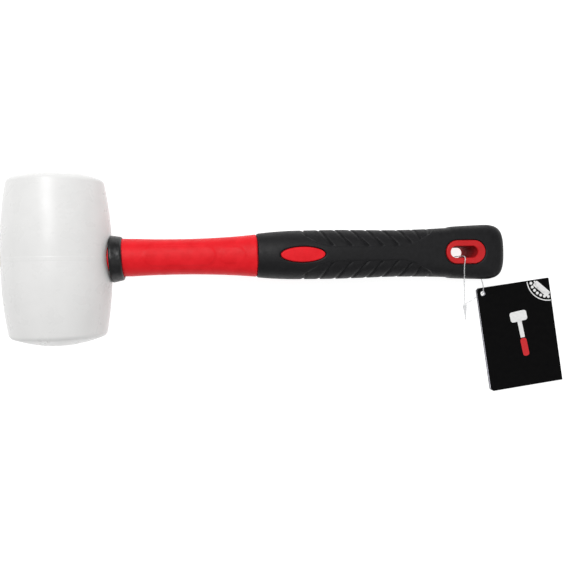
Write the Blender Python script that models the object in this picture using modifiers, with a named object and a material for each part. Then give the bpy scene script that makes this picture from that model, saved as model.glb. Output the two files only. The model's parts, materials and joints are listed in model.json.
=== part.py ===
"""Rubber mallet with a barrel head, a fibreglass-cored handle and a hang tag.

Metres, +Z up. The mallet lies at rest on the plane z = 0: the belly of the head and the
underside of the butt both touch it, so the handle leans down a few degrees from the head
to the butt. +X runs from the head to the butt, and the barrel's axis is parallel to Y.
The pieces of the mallet are modelled straight, around the middle of the head, under the
empty "mallet_pose", which leans them. The tag's pieces hang on the empty "tag_swivel".
"""

from math import asin, atan2, ceil, cos, hypot, pi, sin

import bmesh
import bpy
from mathutils import Vector

MM = 0.001
GAP = 0.3 * MM                      # clearance between pieces that touch

# Head: a barrel with its axis along Y
HEAD_RADIUS = 34.5 * MM             # at the girth
HEAD_RIM_RADIUS = 30.6 * MM         # where the barrel's side meets the rounded edge
HEAD_HALF_LENGTH = 55.8 * MM
HEAD_LAND = 4.0 * MM                # half width of the straight band at the girth
FACE_FLAT_RADIUS = 8.0 * MM         # flat middle of each striking face
FACE_BOW = 75.0 * MM                # radius of the low dome round it
FACE_EDGE = 4.0 * MM                # radius of the rounded edge
FACE_EDGE_TURN = (0.14, 1.21)       # angles of the edge's arc, from the radial direction
EYE_RADIUS = 12.0 * MM

# Handle: stations of (distance from the head's middle, half width along Y,
# half thickness along Z, power of the superellipse section)
CORE_RADIUS = 6.5 * MM
CORE_START = -31.0 * MM
CORE_END = 250.0 * MM
TENON = [(-31.0, 10.7, 10.7, 2.0), (35.6, 10.7, 10.7, 2.0)]
NECK = [(35.6, 12.4, 12.3, 2.0), (44.0, 12.4, 12.0, 2.0), (62.0, 11.8, 10.8, 2.2),
        (80.0, 11.65, 10.5, 2.2), (98.0, 12.05, 10.7, 2.2), (115.0, 12.95, 11.2, 2.2),
        (129.1, 14.15, 12.1, 2.2)]
SLEEVE = [(129.1, 12.4, 10.4, 2.2), (165.0, 13.0, 10.2, 2.2), (205.0, 12.8, 10.0, 2.2),
          (240.0, 13.0, 9.8, 2.4), (262.0, 14.2, 9.6, 2.8), (284.0, 15.0, 9.6, 2.8),
          (292.0, 14.0, 8.6, 2.6), (296.0, 11.5, 6.8, 2.4)]
GRIP = [(129.4, 14.7, 12.6, 2.2), (134.4, 15.25, 13.0, 2.2), (142.5, 15.9, 13.4, 2.2),
        (152.0, 16.4, 13.6, 2.2), (167.0, 16.6, 13.6, 2.2), (183.0, 16.7, 13.5, 2.2),
        (201.0, 16.45, 13.2, 2.2), (222.0, 16.1, 12.8, 2.4), (240.0, 16.35, 12.6, 2.6),
        (254.0, 16.8, 12.5, 3.0), (261.5, 17.2, 12.5, 3.2)]
BUTT = [(264.8, 17.95, 12.6, 3.2), (277.0, 18.6, 12.6, 3.2), (289.0, 19.0, 12.6, 3.2),
        (294.0, 18.3, 12.0, 3.2), (297.1, 17.0, 11.0, 3.0), (299.2, 15.1, 9.4, 2.8),
        (300.6, 12.2, 7.2, 2.6), (301.3, 8.2, 4.8, 2.4), (301.5, 4.1, 2.4, 2.4)]
SECTION_SIDES = 32
OUTLINE_SIDES = 40
STATION_STEP = 9.0 * MM

# Bosses of the jacket that show through windows in the grip: length, width, middle
BADGE = (29.5 * MM, 9.9 * MM, 159.1 * MM)
RIM = (27.7 * MM, 15.9 * MM, 271.3 * MM)
SLOT = (19.5 * MM, 8.0 * MM, 270.2 * MM)
BOSS_PROUD = 0.2 * MM

# Foot of the neck, curved like the barrel that it sits on
NECK_FOOT_RADIUS = 12.1 * MM
NECK_FOOT_END = 37.0 * MM

# Collar that covers the joint between the head and the handle; it sits slightly askew
COLLAR_START = 33.7 * MM
COLLAR_END = 41.9 * MM
COLLAR_FOOT_RADIUS = 15.4 * MM
COLLAR_END_RADIUS = 14.5 * MM
COLLAR_EDGE_RADIUS = 1.5 * MM
COLLAR_SKEW = 0.045                 # radians about Z
COLLAR_SHIFT = -0.5 * MM            # its middle, along Y

# Tag: an A8 booklet with a hole near one corner, lying with that corner on the loop
TAG_WIDTH = 53.4 * MM
TAG_HEIGHT = 74.5 * MM
TAG_THICKNESS = 2.3 * MM
TAG_CARD = 0.35 * MM
TAG_HOLE_INSET = 4.1 * MM
TAG_HOLE_RADIUS = 1.7 * MM
TAG_HOLE = (290.8, -29.5, 2.3)      # middle of the hole from the head's middle, on z = 0
TAG_TURN = 0.130                    # radians about Z
TAG_DROP = 1.0 * MM                 # how much lower the far corner lies than the hole

# Loop: nylon filament, from its lock under the tag, up through the tag's hole, under the
# butt, up through the slot, over the butt and back to the lock. Millimetres, from the
# head's middle along X and Y, and from the surface along Z.
LOOP_DIAMETER = 0.7 * MM
LOOP_STEP = 1.7 * MM
LOOP_ROUTE = [
    (278.6, -36.6, 1.6), (279.6, -36.2, 1.1), (281.6, -35.4, 0.6), (284.4, -33.7, 0.4),
    (287.2, -31.9, 0.4), (289.3, -30.5, 0.6), (290.4, -29.8, 1.3), (290.8, -29.5, 2.3),
    (290.9, -29.0, 3.3), (290.9, -28.0, 4.1), (290.9, -26.4, 4.35), (290.9, -24.8, 4.2),
    (290.9, -22.9, 3.3), (290.8, -20.4, 1.7), (290.0, -17.6, 0.8), (287.2, -13.8, 0.4),
    (283.0, -10.8, 0.4), (278.5, -9.3, 0.4), (275.2, -7.8, 0.4), (273.2, -5.8, 0.4),
    (271.7, -4.1, 0.6), (270.8, -3.0, 1.8), (270.5, -2.8, 4.0), (270.3, -2.7, 9.0),
    (270.2, -2.7, 16.0), (270.2, -2.8, 22.5), (270.3, -3.0, 25.6), (270.3, -3.8, 27.4),
    (270.2, -5.4, 27.9), (270.0, -8.0, 27.5), (270.0, -10.5, 26.8), (270.2, -13.0, 25.9),
    (270.7, -15.5, 24.5), (271.3, -17.4, 22.3), (272.1, -18.9, 19.5), (273.4, -21.0, 15.6),
    (274.9, -24.4, 11.0), (276.2, -28.6, 7.0), (277.2, -32.4, 4.1), (277.5, -35.2, 2.3),
    (277.6, -36.6, 1.7)]
LOCK_START = (277.9, -37.1, 1.75)
LOCK_TIP = (278.8, -48.3, 0.8)
LOCK_PROFILE = [(0.0, 1.45), (1.6, 1.5), (4.0, 1.15), (10.9, 0.4), (11.25, 0.0)]

COLOURS = {                          # base colour, roughness
    "rubber_white": ((0.84, 0.83, 0.81), 0.55),
    "rubber_black": ((0.018, 0.018, 0.019), 0.6),
    "plastic_red": ((0.62, 0.035, 0.04), 0.4),
    "fibreglass": ((0.78, 0.72, 0.5), 0.5),
    "epoxy": ((0.55, 0.47, 0.3), 0.3),
    "nylon": ((0.85, 0.86, 0.88), 0.3),
    "card_black": ((0.02, 0.02, 0.022), 0.5),
    "paper": ((0.85, 0.84, 0.87), 0.8),
}


# Curves and stations ---------------------------------------------------------------------

def catmull_rom(points, t):
    """Value at parameter t, in spans, of a smooth curve through a list of tuples."""
    i = min(int(t), len(points) - 2)
    u = t - i
    p0, p1, p2, p3 = (points[min(max(k, 0), len(points) - 1)] for k in range(i - 1, i + 3))
    return tuple(
        b + 0.5 * u * (c - a + u * (2 * a - 5 * b + 4 * c - d + u * (3 * (b - c) + d - a)))
        for a, b, c, d in zip(p0, p1, p2, p3))


def smooth_stations(points):
    """Stations in millimetres refined to about one every STATION_STEP, in metres."""
    stations = []
    for i in range(len(points) - 1):
        pieces = max(1, ceil((points[i + 1][0] - points[i][0]) * MM / STATION_STEP))
        for k in range(pieces):
            stations.append(catmull_rom(points, i + k / pieces))
    stations.append(points[-1])
    return [(x * MM, w * MM, t * MM, p) for x, w, t, p in stations]


def even_route(points, step):
    """Points about one step apart on a smooth curve through a route in millimetres."""
    dense = [Vector(catmull_rom(points, i / 20)) * MM for i in range(20 * (len(points) - 1) + 1)]
    travelled = [0.0]
    for a, b in zip(dense, dense[1:]):
        travelled.append(travelled[-1] + (b - a).length)
    count = round(travelled[-1] / step)
    route = []
    for k in range(count + 1):
        goal = travelled[-1] * k / count
        i = max(1, next(j for j, d in enumerate(travelled) if d >= goal - 1e-9))
        u = (goal - travelled[i - 1]) / (travelled[i] - travelled[i - 1])
        route.append(dense[i - 1].lerp(dense[i], u))
    return route


GRIP_STATIONS = smooth_stations(GRIP) + smooth_stations(BUTT)
# The handle leans until the first station of the butt's underside meets the surface
REST_TILT = min(asin(HEAD_RADIUS / hypot(x, t)) - atan2(t, x) for x, w, t, p in GRIP_STATIONS)
REACH = max(x * cos(REST_TILT) + t * sin(REST_TILT) for x, w, t, p in GRIP_STATIONS)
HEAD_MIDDLE = Vector(((HEAD_RADIUS - REACH) / 2, 0.0, HEAD_RADIUS))


# Building blocks -------------------------------------------------------------------------

def make_material(name):
    colour, roughness = COLOURS[name]
    material = bpy.data.materials.new(name)
    material.use_nodes = True
    shader = material.node_tree.nodes["Principled BSDF"]
    shader.inputs["Base Color"].default_value = (*colour, 1.0)
    shader.inputs["Roughness"].default_value = roughness
    shader.inputs["Metallic"].default_value = 0.0
    material.diffuse_color = (*colour, 1.0)
    return material


def add_object(name, data, collection, parent=None):
    item = bpy.data.objects.new(name, data)
    collection.objects.link(item)
    item.parent = parent
    return item


def finish_part(item, material):
    """Give a part its material and smooth shading between its sharp edges."""
    item.data.materials.append(material)
    if item.type == "MESH":
        item.data.shade_smooth()
        item.data.set_sharp_from_angle(angle=0.6)
    return item


def mark_cutter(item):
    item.hide_render = True
    item.display_type = "WIRE"
    return item


def boolean(item, operand, operation="DIFFERENCE"):
    modifier = item.modifiers.new(operation.title(), "BOOLEAN")
    modifier.operation = operation
    modifier.object = operand
    modifier.solver = "EXACT"


def section_ring(mesh, station, offset):
    """Ring of vertices on a superellipse across the X axis."""
    x, half_width, half_thickness, power = station
    ring = []
    for k in range(SECTION_SIDES):
        angle = 2 * pi * k / SECTION_SIDES
        c, s = cos(angle), sin(angle)
        y = (half_width + offset) * abs(c) ** (2 / power) * (1 if c > 0 else -1)
        z = (half_thickness + offset) * abs(s) ** (2 / power) * (1 if s > 0 else -1)
        ring.append(mesh.verts.new((x, y, z)))
    return ring


def loft(name, stations, collection, parent, offset=0.0):
    """Closed solid through unlike superellipse sections along X."""
    mesh = bmesh.new()
    rings = [section_ring(mesh, station, offset) for station in stations]
    for near, far in zip(rings, rings[1:]):
        for k in range(SECTION_SIDES):
            j = (k + 1) % SECTION_SIDES
            mesh.faces.new((near[k], near[j], far[j], far[k]))
    mesh.faces.new(rings[0][::-1])
    mesh.faces.new(rings[-1])
    bmesh.ops.recalc_face_normals(mesh, faces=mesh.faces)
    data = bpy.data.meshes.new(name)
    mesh.to_mesh(data)
    mesh.free()
    return add_object(name, data, collection, parent)


def turned(name, profile, steps, collection, parent):
    """Solid of revolution about local Z from (radius, height) points, top to bottom."""
    data = bpy.data.meshes.new(name)
    edges = [(i, i + 1) for i in range(len(profile) - 1)]
    data.from_pydata([(r, 0.0, h) for r, h in profile], edges, [])
    item = add_object(name, data, collection, parent)
    screw = item.modifiers.new("Screw", "SCREW")
    screw.axis = "Z"
    screw.steps = steps
    screw.render_steps = steps
    screw.use_merge_vertices = True
    screw.merge_threshold = 0.01 * MM
    return item


def cylinder(name, radius, start, end, sides, collection, parent):
    """Cylinder along the parent's X axis."""
    mesh = bmesh.new()
    bmesh.ops.create_cone(mesh, cap_ends=True, segments=sides, radius1=radius,
                          radius2=radius, depth=end - start)
    data = bpy.data.meshes.new(name)
    mesh.to_mesh(data)
    mesh.free()
    item = add_object(name, data, collection, parent)
    item.location = ((start + end) / 2, 0, 0)
    item.rotation_euler = (0, pi / 2, 0)
    return item


def box(name, low, high, collection, parent):
    mesh = bmesh.new()
    bmesh.ops.create_cube(mesh, size=1.0)
    size = Vector(high) - Vector(low)
    middle = (Vector(high) + Vector(low)) / 2
    bmesh.ops.scale(mesh, vec=size, verts=mesh.verts)
    bmesh.ops.translate(mesh, vec=middle, verts=mesh.verts)
    data = bpy.data.meshes.new(name)
    mesh.to_mesh(data)
    mesh.free()
    return add_object(name, data, collection, parent)


def ellipse(shape, offset=0.0):
    """Outline of an ellipse, larger by the offset all round."""
    length, width, middle = shape
    angles = [2 * pi * k / OUTLINE_SIDES for k in range(OUTLINE_SIDES)]
    return [(middle + (length / 2 + offset) * cos(a), (width / 2 + offset) * sin(a))
            for a in angles]


def stadium(shape, offset=0.0):
    """Outline of a bar with round ends, larger by the offset all round."""
    length, width, middle = shape
    radius = width / 2 + offset
    half_run = (length - width) / 2
    angles = [2 * pi * (k + 0.5) / OUTLINE_SIDES for k in range(OUTLINE_SIDES)]
    return [(middle + (half_run if cos(a) > 0 else -half_run) + radius * cos(a),
             radius * sin(a)) for a in angles]


def outline_prism(name, outline, half_height, collection, parent):
    """Upright prism from a filled and extruded 2D curve."""
    curve = bpy.data.curves.new(name, "CURVE")
    curve.dimensions = "2D"
    curve.fill_mode = "BOTH"
    curve.extrude = half_height
    spline = curve.splines.new("POLY")
    spline.points.add(len(outline) - 1)
    spline.use_cyclic_u = True
    for point, (x, y) in zip(spline.points, outline):
        point.co = (x, y, 0.0, 1.0)
    return curve_to_mesh(add_object(name, curve, collection, parent))


def curve_to_mesh(item):
    """Replace a curve object with a closed mesh object of the same name and place."""
    name, parent = item.name, item.parent
    collection = item.users_collection[0]
    bpy.context.view_layer.update()
    depsgraph = bpy.context.evaluated_depsgraph_get()
    data = bpy.data.meshes.new_from_object(item.evaluated_get(depsgraph))
    mesh = bmesh.new()
    mesh.from_mesh(data)
    bmesh.ops.remove_doubles(mesh, verts=mesh.verts, dist=0.001 * MM)
    bmesh.ops.recalc_face_normals(mesh, faces=mesh.faces)
    mesh.to_mesh(data)
    mesh.free()
    bpy.data.objects.remove(item)
    return add_object(name, data, collection, parent)


# Pieces ----------------------------------------------------------------------------------

def arc(centre, radius, start, end, count):
    """Points (radius, height) of an arc, with angles from the radial direction."""
    angles = [start + (end - start) * i / count for i in range(count + 1)]
    return [(centre[0] + radius * cos(a), centre[1] + radius * sin(a)) for a in angles]


def barrel_radius(height, rim_height):
    """Radius of the barrel at a distance from its girth: a land, then a long arc."""
    run = max(abs(height) - HEAD_LAND, 0.0)
    full_run = rim_height - HEAD_LAND
    sag = HEAD_RADIUS - HEAD_RIM_RADIUS
    bow = (full_run ** 2 + sag ** 2) / (2 * sag)
    return HEAD_RADIUS - bow + (bow ** 2 - run ** 2) ** 0.5


def dome_height(radius):
    """Distance of the domed end from the girth."""
    return HEAD_HALF_LENGTH - (radius ** 2 - FACE_FLAT_RADIUS ** 2) / (2 * FACE_BOW)


def face_profile():
    """Points (radius, height) over an end, from its flat middle to the barrel's side."""
    low, high = FACE_EDGE_TURN
    edge_centre = HEAD_RIM_RADIUS - FACE_EDGE * cos(low)
    dome_radius = edge_centre + FACE_EDGE * cos(high)
    bands = 6
    points = []
    for k in range(bands):
        radius = FACE_FLAT_RADIUS + (dome_radius - FACE_FLAT_RADIUS) * k / bands
        points.append((radius, dome_height(radius)))
    centre = (edge_centre, dome_height(dome_radius) - FACE_EDGE * sin(high))
    return points + arc(centre, FACE_EDGE, high, low, 5)


def make_head(parts, cutters, pose):
    half = [(0.0, HEAD_HALF_LENGTH)] + face_profile()
    rim_height = half[-1][1]
    bands = 5
    for i in range(1, bands):
        height = HEAD_LAND + (rim_height - HEAD_LAND) * (bands - i) / bands
        half.append((barrel_radius(height, rim_height), height))
    half.append((HEAD_RADIUS, HEAD_LAND))
    profile = half + [(r, -h) for r, h in reversed(half)]
    head = turned("rubber_head", profile, 48, parts, pose)
    # The barrel keeps a line of its facets' corners straight below its axis
    head.rotation_euler = (pi / 2, -REST_TILT, 0)
    reach = HEAD_RADIUS + 5 * MM
    eye = mark_cutter(cylinder("cut_eye", EYE_RADIUS, -reach, reach, 36, cutters, pose))
    boolean(head, eye)
    return head


def barrel_cutter(name, radius, cutters, pose):
    """Cylinder along the barrel's axis, for what sits on the barrel like a saddle."""
    cutter = mark_cutter(cylinder(name, radius, -30 * MM, 30 * MM, 72, cutters, pose))
    cutter.rotation_euler = (pi / 2, 0, 0)
    return cutter


def make_collar(parts, cutters, pose):
    round_centre = (COLLAR_END_RADIUS - COLLAR_EDGE_RADIUS, COLLAR_END - COLLAR_EDGE_RADIUS)
    profile = [(0.0, COLLAR_END)] + arc(round_centre, COLLAR_EDGE_RADIUS, pi / 2, 0.0, 4)
    profile += [(COLLAR_FOOT_RADIUS, COLLAR_START), (0.0, COLLAR_START)]
    collar = turned("collar", profile, 36, parts, pose)
    collar.rotation_euler = (0, pi / 2, COLLAR_SKEW)
    collar.location = (COLLAR_END * (1 - cos(COLLAR_SKEW)),
                       COLLAR_SHIFT - COLLAR_END * sin(COLLAR_SKEW), 0)
    bore = cylinder("cut_collar_bore", NECK[0][1] * MM + GAP, COLLAR_START - 5 * MM,
                    COLLAR_END + 5 * MM, 36, cutters, pose)
    boolean(collar, mark_cutter(bore))
    boolean(collar, barrel_cutter("cut_collar_seat", HEAD_RADIUS + GAP, cutters, pose))
    return collar


def make_neck_foot(cutters, pose):
    """Short stretch of the neck that reaches down to the barrel all round."""
    foot = cylinder("neck_foot", NECK_FOOT_RADIUS, 25 * MM, NECK_FOOT_END, 36, cutters, pose)
    boolean(foot, barrel_cutter("cut_foot_seat", HEAD_RADIUS + GAP, cutters, pose))
    return mark_cutter(foot)


def make_eye_bond(parts, cutters, pose):
    """Epoxy cup that fills the eye round the tenon and covers its end."""
    outer = EYE_RADIUS - GAP
    cap = 1.6 * MM
    start = CORE_START - GAP - cap
    bond = cylinder("eye_bond", outer, start, 31.0 * MM, 36, parts, pose)
    bore = cylinder("cut_bond", TENON[0][1] * MM + GAP, CORE_START - GAP, 40 * MM, 36,
                    cutters, pose)
    boolean(bond, mark_cutter(bore))
    return bond


def make_boss(name, outline, envelope, cutters, pose):
    """Boss right through the handle, with ends that follow the grip's surface."""
    prism = outline_prism(name, outline, 20 * MM, cutters, pose)
    boolean(prism, envelope, "INTERSECT")
    return mark_cutter(prism)


def make_jacket(parts, cutters, pose):
    stations = [(x * MM, w * MM, t * MM, p) for x, w, t, p in TENON]
    stations += smooth_stations(NECK) + smooth_stations(SLEEVE)
    jacket = loft("handle_jacket", stations, parts, pose)
    envelope = mark_cutter(loft("grip_envelope", GRIP_STATIONS, cutters, pose, BOSS_PROUD))
    boolean(jacket, make_neck_foot(cutters, pose), "UNION")
    boolean(jacket, make_boss("badge_boss", ellipse(BADGE), envelope, cutters, pose), "UNION")
    boolean(jacket, make_boss("rim_boss", stadium(RIM), envelope, cutters, pose), "UNION")
    bore = cylinder("cut_bore", CORE_RADIUS + GAP, CORE_START - 5 * MM, CORE_END + GAP, 24,
                    cutters, pose)
    boolean(jacket, mark_cutter(bore))
    slot = outline_prism("cut_slot", stadium(SLOT), 25 * MM, cutters, pose)
    boolean(jacket, mark_cutter(slot))
    return jacket


def make_grip(parts, cutters, pose):
    grip = loft("grip", GRIP_STATIONS, parts, pose)
    sleeve = smooth_stations(SLEEVE)
    mouth = (sleeve[0][0] - 10 * MM, *sleeve[0][1:])
    end = (sleeve[-1][0] + GAP, *sleeve[-1][1:])
    inside = loft("cut_sleeve", [mouth] + sleeve + [end], cutters, pose, GAP)
    boolean(grip, mark_cutter(inside))
    for name, outline in (("cut_badge", ellipse(BADGE, GAP)), ("cut_rim", stadium(RIM, GAP))):
        window = outline_prism(name, outline, 25 * MM, cutters, pose)
        boolean(grip, mark_cutter(window))
    return grip


def make_loop(parts):
    curve = bpy.data.curves.new("tag_loop", "CURVE")
    curve.dimensions = "3D"
    curve.bevel_depth = LOOP_DIAMETER / 2
    curve.bevel_resolution = 2
    curve.use_fill_caps = True
    route = even_route(LOOP_ROUTE, LOOP_STEP)
    spline = curve.splines.new("POLY")
    spline.points.add(len(route) - 1)
    for point, place in zip(spline.points, route):
        point.co = (*place, 1.0)
    loop = add_object("tag_loop", curve, parts)
    loop.location = (HEAD_MIDDLE.x, 0, 0)
    return loop


def make_lock(parts):
    start = Vector(LOCK_START) * MM
    tip = Vector(LOCK_TIP) * MM
    outline = [(0.0, 0.0)] + LOCK_PROFILE
    profile = [(r * MM, h * MM) for h, r in reversed(outline)]
    lock = turned("loop_lock", profile, 16, parts, None)
    lock.rotation_euler = (tip - start).to_track_quat("Z", "Y").to_euler()
    lock.location = start + Vector((HEAD_MIDDLE.x, 0, 0))
    return lock


def make_tag(parts, cutters):
    swivel = add_object("tag_swivel", None, parts)
    swivel.location = Vector(TAG_HOLE) * MM + Vector((HEAD_MIDDLE.x, 0, 0))
    run_x = TAG_WIDTH - TAG_HOLE_INSET
    run_y = TAG_HEIGHT - TAG_HOLE_INSET
    slope = TAG_DROP / (run_x ** 2 + run_y ** 2)
    swivel.rotation_euler = (run_y * slope, run_x * slope, TAG_TURN)
    hole = cylinder("cut_tag_hole", TAG_HOLE_RADIUS, -5 * MM, 5 * MM, 20, cutters, swivel)
    hole.rotation_euler = (0, 0, 0)
    hole.location = (0, 0, 0)
    mark_cutter(hole)

    left, right = -TAG_HOLE_INSET, run_x
    bottom, top = -run_y, TAG_HOLE_INSET
    half = TAG_THICKNESS / 2
    cover = box("tag_cover", (left, bottom, -half), (right, top, half), parts, swivel)
    leaf_room = half - TAG_CARD
    pocket = box("cut_pocket", (left - 5 * MM, bottom - 5 * MM, -leaf_room),
                 (right - TAG_CARD, top + 5 * MM, leaf_room), cutters, swivel)
    boolean(cover, mark_cutter(pocket))
    boolean(cover, hole)
    block = leaf_room - GAP
    trim = 0.2 * MM
    pages = box("tag_pages", (left + trim, bottom + trim, -block),
                (right - TAG_CARD - GAP, top - trim, block), parts, swivel)
    boolean(pages, hole)
    return cover, pages


def main():
    for item in list(bpy.data.objects):
        bpy.data.objects.remove(item)
    parts = bpy.data.collections.new("rubber_mallet")
    cutters = bpy.data.collections.new("cutters")
    for collection in (parts, cutters):
        bpy.context.scene.collection.children.link(collection)
    materials = {name: make_material(name) for name in COLOURS}

    pose = add_object("mallet_pose", None, parts)
    pose.location = HEAD_MIDDLE
    pose.rotation_euler = (0, REST_TILT, 0)

    finish_part(make_head(parts, cutters, pose), materials["rubber_white"])
    finish_part(make_collar(parts, cutters, pose), materials["rubber_black"])
    finish_part(make_eye_bond(parts, cutters, pose), materials["epoxy"])
    core = cylinder("handle_core", CORE_RADIUS, CORE_START, CORE_END, 24, parts, pose)
    finish_part(core, materials["fibreglass"])
    finish_part(make_jacket(parts, cutters, pose), materials["plastic_red"])
    finish_part(make_grip(parts, cutters, pose), materials["rubber_black"])
    finish_part(make_loop(parts), materials["nylon"])
    finish_part(make_lock(parts), materials["nylon"])
    cover, pages = make_tag(parts, cutters)
    finish_part(cover, materials["card_black"])
    finish_part(pages, materials["paper"])
    bpy.context.view_layer.update()


main()
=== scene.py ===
import json
from math import asin, cos, pi, radians, sin

import bmesh
import bpy
import numpy as np
from mathutils import Matrix, Vector, noise


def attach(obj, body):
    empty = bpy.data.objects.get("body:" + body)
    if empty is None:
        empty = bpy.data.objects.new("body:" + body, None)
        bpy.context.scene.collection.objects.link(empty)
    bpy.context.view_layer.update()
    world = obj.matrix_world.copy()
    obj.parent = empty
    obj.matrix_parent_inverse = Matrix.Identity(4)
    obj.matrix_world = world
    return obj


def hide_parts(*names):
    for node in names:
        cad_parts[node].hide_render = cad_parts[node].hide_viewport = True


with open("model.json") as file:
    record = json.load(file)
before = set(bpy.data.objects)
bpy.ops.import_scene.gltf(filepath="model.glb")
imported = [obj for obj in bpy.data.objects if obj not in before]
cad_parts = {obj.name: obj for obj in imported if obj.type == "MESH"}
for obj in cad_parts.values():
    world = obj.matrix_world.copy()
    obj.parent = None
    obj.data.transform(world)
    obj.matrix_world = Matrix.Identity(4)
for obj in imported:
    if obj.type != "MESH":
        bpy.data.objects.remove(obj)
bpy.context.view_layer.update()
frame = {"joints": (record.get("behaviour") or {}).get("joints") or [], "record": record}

# The frame: the head's middle and the lean of the handle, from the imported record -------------

MM = 0.001
MOUNTS = {m["name"]: m for m in frame["record"]["mounts"]}
FACE_A = Vector(MOUNTS["face_plus_y"]["pos_m"])
FACE_B = Vector(MOUNTS["face_minus_y"]["pos_m"])
HEAD_MIDDLE = (FACE_A + FACE_B) / 2
TILT = asin(MOUNTS["hang_slot"]["axis"][0])
POSE = Matrix.Translation(HEAD_MIDDLE) @ Matrix.Rotation(TILT, 4, "Y")
SWIVEL = Vector(frame["joints"][0]["pos_m"])

# Sizes, in millimetres. The handle's stations are (distance from the head's middle, half
# width, half thickness, power of the superellipse section). An ellipse or a stadium is
# (length, width, place of its middle along the handle).
GAP = 0.3                            # between pieces that meet
SNUG = 0.05                          # between pieces that are bonded
POLE = 0.05                          # radius of a turned shape where it reaches its axis
HEAD_RADIUS = HEAD_MIDDLE.z / MM
HEAD_HALF = (FACE_A - FACE_B).length / 2 / MM
HEAD_RIM = 30.6                      # radius of the barrel's ends
HEAD_LAND = 4.0                      # half width of the straight belt round its middle
PARTING_BAND = (-1.7, 0.5)           # raised band of the belt; the side above it lies lower
PARTING_RISE = 0.04
PARTING_STEP = 0.03
FACE_FLAT = 8.0                      # radius of the flat middle of a striking face
FACE_BOW = 75.0                      # radius of curvature of the low dome round it
FACE_EDGE = 4.0                      # radius of the rounded edge, and its range in radians
FACE_EDGE_TURN = (0.14, 1.21)
EYE_RADIUS = 12.0
EYE_MOUTH = [(1.4, -2.0), (0.6, 1.2), (0.0, 2.6)]    # extra radius, depth from the far side
BOND_CAP = 1.6                       # epoxy over the handle's end, and its hollow surface
BOND_HOLLOW = 0.45
BOND_END = 31.0
CORE_RADIUS = 6.5
CORE_START = -31.0
CORE_END = 250.0
CORE_CHAMFER = 0.6
CORE_RELIEF = 0.012                  # depth of its fine grooves, as a share of the radius
TENON = [(-31.0, 10.7, 10.7, 2.0), (35.6, 10.7, 10.7, 2.0)]
NECK = [(35.6, 12.4, 12.3, 2.0), (44.0, 12.4, 12.0, 2.0), (62.0, 11.8, 10.8, 2.2),
        (80.0, 11.65, 10.5, 2.2), (98.0, 12.05, 10.7, 2.2), (115.0, 12.95, 11.2, 2.2),
        (129.1, 14.15, 12.1, 2.2)]
SLEEVE = [(129.1, 12.4, 10.4, 2.2), (165.0, 13.0, 10.2, 2.2), (205.0, 12.8, 10.0, 2.2),
          (240.0, 13.0, 9.8, 2.4), (262.0, 14.2, 9.6, 2.8), (284.0, 15.0, 9.6, 2.8),
          (292.0, 14.0, 8.6, 2.6), (296.0, 11.5, 6.8, 2.4)]
GRIP = [(129.4, 14.7, 12.6, 2.2), (134.4, 15.25, 13.0, 2.2), (142.5, 15.9, 13.4, 2.2),
        (152.0, 16.4, 13.6, 2.2), (167.0, 16.6, 13.6, 2.2), (183.0, 16.7, 13.5, 2.2),
        (201.0, 16.45, 13.2, 2.2), (222.0, 16.1, 12.8, 2.4), (240.0, 16.35, 12.6, 2.6),
        (254.0, 16.8, 12.5, 3.0), (261.5, 17.2, 12.5, 3.2)]
BUTT = [(264.8, 17.95, 12.6, 3.2), (277.0, 18.6, 12.6, 3.2), (289.0, 19.0, 12.6, 3.2),
        (294.0, 18.3, 12.0, 3.2), (297.1, 17.0, 11.0, 3.0), (299.2, 15.1, 9.4, 2.8),
        (300.6, 12.2, 7.2, 2.6), (301.3, 8.2, 4.8, 2.4), (301.5, 4.1, 2.4, 2.4)]
GRIP_POINTS = GRIP + BUTT
BADGE = (29.5, 9.9, 159.1)
RIM = (27.7, 15.9, 271.3)
SLOT_TOP = (19.0, 7.8, 270.2)        # the slot's walls have a draft
SLOT_BOTTOM = (16.8, 7.1, 269.5)
# Rounded mouth of the slot, underneath: (height, how far it flares)
SLOT_MOUTH = [(-20.0, 4.5), (-13.0, 0.7), (-12.7, 0.32), (-12.4, 0.12), (-12.0, 0.0)]
SLOT_WALL_HALF = 11.9                # half height of the walls inside the rounded mouths
BOSS_BEVEL = 0.75                    # rounded edge of the badge and the rim
BOSS_DISH = 0.16                     # how far their middles lie below the edge
BOSS_RISE = 0.4                      # above the grip, on top and underneath
BOSS_RISE_UNDER = 0.15
NECK_PANELS = [((46.0, 13.0, 78.5), 0.26), ((17.0, 11.0, 112.5), 0.18)]      # outline, rise
NECK_PANEL_SHIFT = 0.5
NECK_SHOULDER = [(128.7, 0.08), (128.95, 0.3), (129.05, 0.8)]    # distance, how far turned in
SEAM_RISE = 0.14
SEAM_WIDTH = 0.35
NECK_FOOT_RADIUS = 12.1
NECK_FOOT_START = 25.0
NECK_FOOT_END = 37.0
COLLAR_START = 33.7
COLLAR_END = 41.9
COLLAR_FOOT_RADIUS = 15.4
COLLAR_END_RADIUS = 14.5
COLLAR_EDGE = 1.5
COLLAR_SKEW = 0.045
COLLAR_SHIFT = -0.5
TAG_SIZE = (53.4, 74.5)
TAG_INSET = 4.1
TAG_THICKNESS = 2.3
TAG_CORNER = 1.6
TAG_OPENING = 1.1                    # of the booklet, at its loose corner
TAG_CARD = 0.35
TAG_SPINE = (0.15, 0.35)             # where the spine starts inside the edge, and its bulge
TAG_LEAVES = 8
TAG_HOLE_RADIUS = 1.7
TAG_TURN = 0.130
TAG_DROP = 1.0
LOOP_DIAMETER = 0.7
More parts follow.
